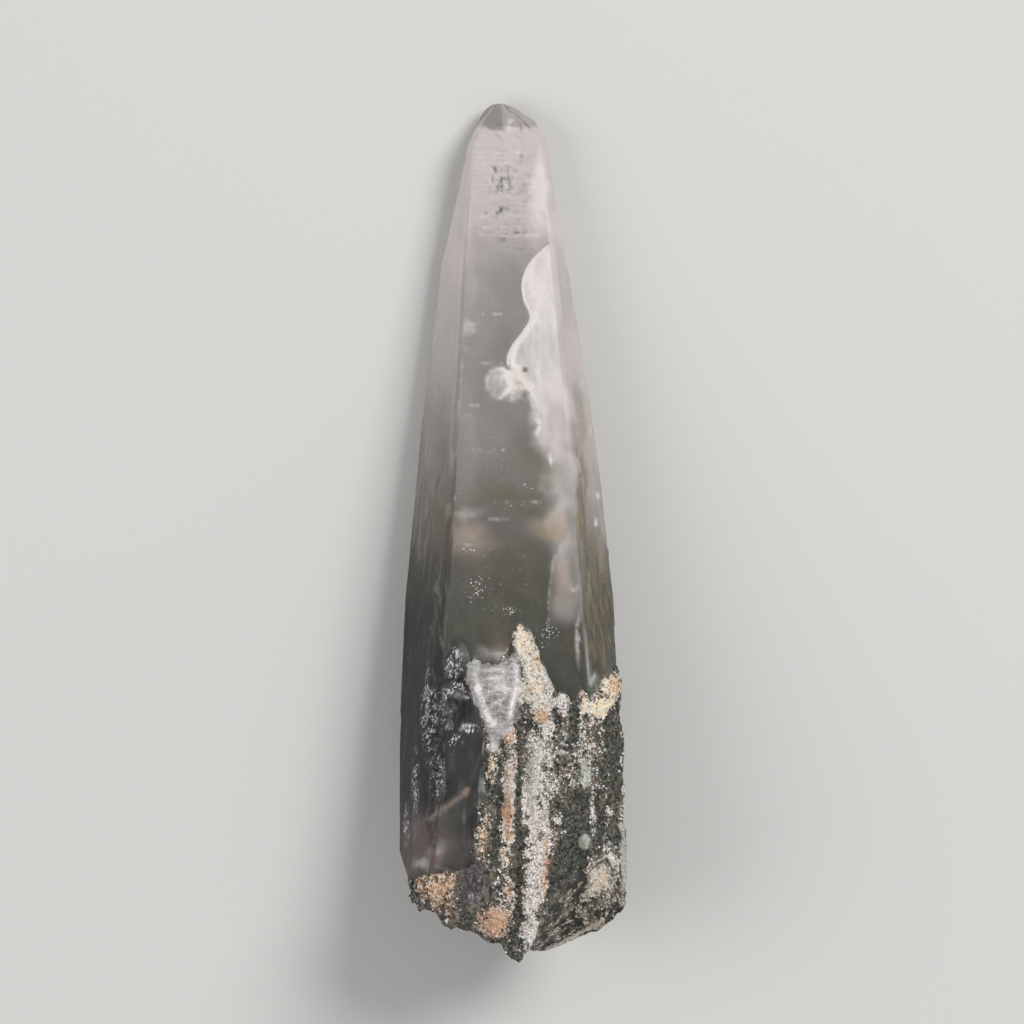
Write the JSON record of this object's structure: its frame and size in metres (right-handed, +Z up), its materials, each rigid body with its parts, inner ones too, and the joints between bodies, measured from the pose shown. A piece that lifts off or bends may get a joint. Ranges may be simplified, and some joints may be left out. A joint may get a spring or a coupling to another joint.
{
  "type": "chlorite quartz crystal",
  "caption": "Tapered six-sided quartz crystal lying on one long face, milky and clear towards a worn point, with chlorite and feldspar over its broken root.",
  "frame": {"origin": "on the resting surface, under the middle of the crystal's bounding box", "axes": "+Y along the crystal from its broken root to its point, +Z up from the resting face"},
  "size_m": [0.0236, 0.0898, 0.0202],
  "materials": {
    "quartz": "translucent milky quartz with a satin, finely striated surface, greener and darker towards the root",
    "chlorite": "dark green, dull and finely scaly",
    "feldspar": "white to peach, granular and dull"
  },
  "bodies": {
    "root": {"quartz_crystal": "quartz"}
  },
  "joints": []
}
